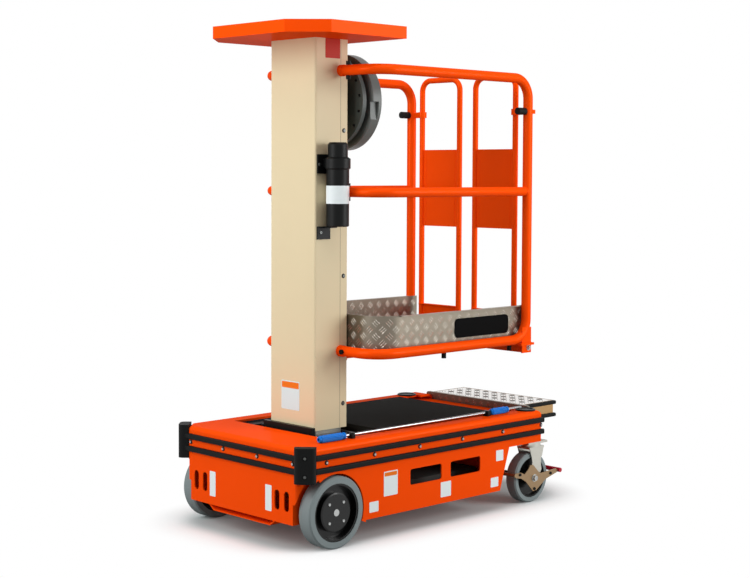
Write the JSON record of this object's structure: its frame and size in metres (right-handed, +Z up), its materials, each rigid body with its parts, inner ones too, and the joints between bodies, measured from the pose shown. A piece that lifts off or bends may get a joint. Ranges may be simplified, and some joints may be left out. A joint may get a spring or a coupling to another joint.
{
  "type": "vertical mast lift",
  "caption": "Push-around vertical mast lift: wheeled chassis with swivel castors, telescoping mast, railed one-person platform with saloon gates and a winding wheel.",
  "frame": {"origin": "on the floor, under the middle of the whole machine's length and width", "axes": "+X from the mast end to the boarding step, +Y across to the far side, +Z up along the mast"},
  "size_m": [1.4877, 0.7514, 1.843],
  "materials": {
    "orange_paint": "satin powder coat",
    "cream_paint": "satin powder coat",
    "cast_ballast": "rough",
    "black_rubber": "matt",
    "black_plastic": "satin",
    "dark_plate": "satin",
    "deck_cover": "matt",
    "tread_plate": "worn chequered plate",
    "bronze_plate": "yellow zinc",
    "chrome_bar": "polished",
    "blue_grip": "satin",
    "zinc_steel": "bright zinc",
    "mast_steel": "satin",
    "white_pads": "satin",
    "winder_grey": "satin",
    "grey_tyre": "satin",
    "wheel_black": "satin",
    "red_pedal": "gloss"
  },
  "bodies": {
    "chassis": {"deck": "orange_paint", "tub": "orange_paint", "floor_pan": "orange_paint", "ballast": "cast_ballast", "bumper_strips": "black_rubber", "corner_bumpers": "black_rubber", "well_plate": "dark_plate", "mast_bar": "black_plastic", "deck_mat": "deck_cover", "deck_caps": "black_plastic", "step": "tread_plate", "step_fascia": "bronze_plate", "step_strips": "black_rubber", "stowed_bar": "chrome_bar", "bar_grips": "blue_grip", "bar_clips": "black_plastic", "stub_axles": "zinc_steel", "castor_mounts": "zinc_steel", "base_mast": "mast_steel", "base_pads": "white_pads"},
    "mid_section": {"mid_mast": "mast_steel", "mid_pads": "white_pads"},
    "platform": {"outer_mast": "cream_paint", "tool_tray": "orange_paint", "guard_rail_near": "orange_paint", "guard_rail_far": "orange_paint", "rail_bolts": "black_plastic", "toe_board": "tread_plate", "platform_floor": "tread_plate", "floor_frame": "orange_paint", "platform_feet": "black_rubber", "gate_stops": "black_rubber", "document_tube": "black_plastic", "tube_brackets": "black_plastic", "winder_housing": "winder_grey"},
    "winder": {"winding_wheel": "winder_grey"},
    "gate_swing_near": {"gate_near": "orange_paint"},
    "wheel_near": {"tyre_near": "grey_tyre", "hub_near": "wheel_black"},
    "castor_near": {"castor_fork_near": "zinc_steel", "castor_brake_near": "bronze_plate", "castor_pedal_near": "red_pedal"},
    "castor_wheel_near": {"castor_tyre_near": "grey_tyre", "castor_hub_near": "wheel_black"},
    "gate_swing_far": {"gate_far": "orange_paint"},
    "wheel_far": {"tyre_far": "grey_tyre", "hub_far": "wheel_black"},
    "castor_far": {"castor_fork_far": "zinc_steel", "castor_brake_far": "bronze_plate", "castor_pedal_far": "red_pedal"},
    "castor_wheel_far": {"castor_tyre_far": "grey_tyre", "castor_hub_far": "wheel_black"}
  },
  "joints": [
    {"name": "mid_lift", "type": "slide", "parent": "chassis", "child": "mid_section", "axis": [0, 0, 1], "range_m": [0, 0.8]},
    {"name": "platform_lift", "type": "slide", "parent": "mid_section", "child": "platform", "axis": [0, 0, 1], "range_m": [0, 0.8]},
    {"name": "winder_turn", "type": "hinge", "parent": "platform", "child": "winder", "pos_m": [-0.217, 0, 1.577], "axis": [1, 0, 0], "continuous": true},
    {"name": "gate_near_swing", "type": "hinge", "parent": "platform", "child": "gate_swing_near", "pos_m": [0.472, -0.258, 1.2], "axis": [0, 0, 1], "range_deg": [0, 85], "stiffness_Nm_per_rad": 3},
    {"name": "wheel_near_roll", "type": "hinge", "parent": "chassis", "child": "wheel_near", "pos_m": [-0.577, -0.33, 0.128], "axis": [0, 1, 0], "continuous": true},
    {"name": "castor_near_swivel", "type": "hinge", "parent": "chassis", "child": "castor_near", "pos_m": [0.52, -0.312, 0.22], "axis": [0, 0, 1], "continuous": true},
    {"name": "castor_near_roll", "type": "hinge", "parent": "castor_near", "child": "castor_wheel_near", "pos_m": [0.497, -0.312, 0.1], "axis": [0, 1, 0], "continuous": true},
    {"name": "gate_far_swing", "type": "hinge", "parent": "platform", "child": "gate_swing_far", "pos_m": [0.472, 0.258, 1.2], "axis": [0, 0, -1], "range_deg": [0, 85], "stiffness_Nm_per_rad": 3},
    {"name": "wheel_far_roll", "type": "hinge", "parent": "chassis", "child": "wheel_far", "pos_m": [-0.577, 0.33, 0.128], "axis": [0, 1, 0], "continuous": true},
    {"name": "castor_far_swivel", "type": "hinge", "parent": "chassis", "child": "castor_far", "pos_m": [0.52, 0.312, 0.22], "axis": [0, 0, 1], "continuous": true},
    {"name": "castor_far_roll", "type": "hinge", "parent": "castor_far", "child": "castor_wheel_far", "pos_m": [0.497, 0.312, 0.1], "axis": [0, 1, 0], "continuous": true}
  ],
  "couplings": [
    {"joint": "platform_lift", "follows": "mid_lift", "ratio": 1}
  ]
}
